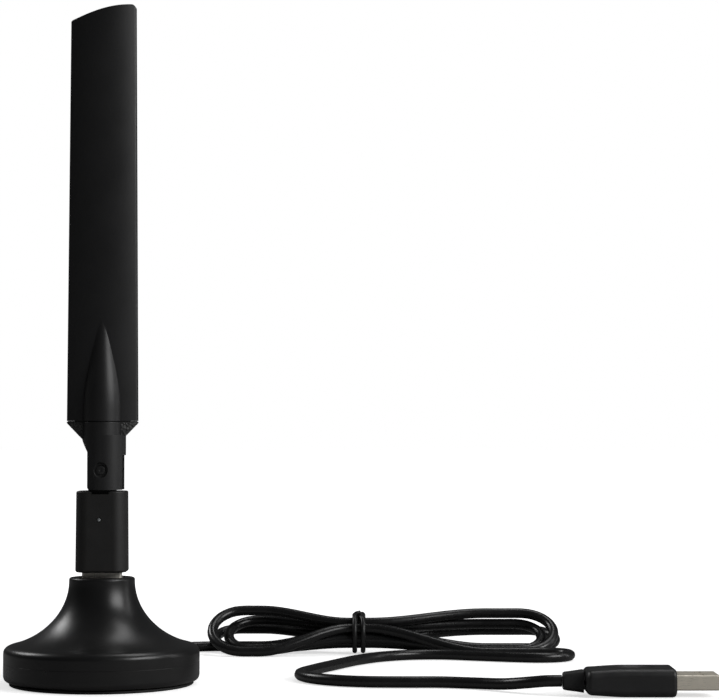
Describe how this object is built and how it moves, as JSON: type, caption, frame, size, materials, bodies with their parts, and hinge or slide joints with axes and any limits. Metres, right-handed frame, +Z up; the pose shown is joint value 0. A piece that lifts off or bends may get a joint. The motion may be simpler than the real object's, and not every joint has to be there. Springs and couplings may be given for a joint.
{
  "type": "usb wifi adapter",
  "caption": "USB wireless adapter with a tilting paddle antenna, plugged into a round weighted desk base that has a tied cable ending in a USB plug.",
  "frame": {"origin": "centre of the base's underside, on the surface it stands on", "axes": "+Z up along the antenna at rest, +X towards the cable plug's side, +Y towards the cable outlet at the back"},
  "size_m": [0.2143, 0.1483, 0.2098],
  "materials": {
    "base_plastic": "moulded plastic, soft gloss",
    "adapter_plastic": "fine matte texture",
    "antenna_plastic": "semi-matte moulded plastic",
    "plug_grip": "satin moulded grip",
    "cable": "glossy flexible PVC jacket",
    "rubber": "soft satin",
    "tie": "plastic-coated wire tie",
    "plug_metal": "nickel-plated steel, satin",
    "steel": "zinc-plated steel",
    "weight": "plain steel disc",
    "contact": "gold-plated contact",
    "copper": "copper foil",
    "insulator": "white moulded insulator",
    "circuit_board": "green solder mask",
    "lens": "clear light pipe, unlit"
  },
  "bodies": {
    "base": {"base_cover": "base_plastic", "base_plate": "steel", "foot_pad": "rubber", "base_weight": "weight", "plate_screw_1": "steel", "plate_screw_2": "steel", "plate_screw_3": "steel", "socket_shell": "plug_metal", "socket_tongue": "insulator", "socket_board": "circuit_board", "socket_contact_1": "contact", "socket_contact_2": "contact", "socket_contact_3": "contact", "socket_contact_4": "contact", "base_strain_relief": "rubber", "inner_lead": "cable", "cord_lead": "cable", "cord_hank": "cable", "cord_tail": "cable", "hank_tie": "tie", "cable_plug_relief": "rubber", "cable_plug_body": "plug_grip", "cable_plug_shell": "plug_metal", "cable_plug_tongue": "insulator", "cable_plug_contact_1": "contact", "cable_plug_contact_2": "contact", "cable_plug_contact_3": "contact", "cable_plug_contact_4": "contact"},
    "adapter": {"adapter_front_shell": "adapter_plastic", "adapter_back_shell": "adapter_plastic", "adapter_board": "circuit_board", "shield_can": "plug_metal", "chip": "adapter_plastic", "led_lens": "lens", "usb_plug_shell": "plug_metal", "usb_plug_tongue": "insulator", "usb_plug_contact_1": "contact", "usb_plug_contact_2": "contact", "usb_plug_contact_3": "contact", "usb_plug_contact_4": "contact"},
    "knuckle": {"swivel_knuckle": "antenna_plastic", "coax_lower": "cable"},
    "paddle": {"paddle_cover": "antenna_plastic", "paddle_cap": "antenna_plastic", "antenna_board": "circuit_board", "radiator_upper": "copper", "radiator_lower": "copper", "hinge_pin_front": "antenna_plastic", "hinge_pin_back": "antenna_plastic", "coax_upper": "cable"}
  },
  "joints": [
    {"name": "adapter_pull", "type": "slide", "parent": "base", "child": "adapter", "axis": [0, 0, 1], "range_m": [0, 0.02]},
    {"name": "antenna_swivel", "type": "hinge", "parent": "adapter", "child": "knuckle", "pos_m": [0, 0, 0.0565], "axis": [0, 0, 1], "range_deg": [-175, 175]},
    {"name": "paddle_tilt", "type": "hinge", "parent": "knuckle", "child": "paddle", "pos_m": [0, 0, 0.0657], "axis": [0, -1, 0], "range_deg": [0, 90]}
  ]
}
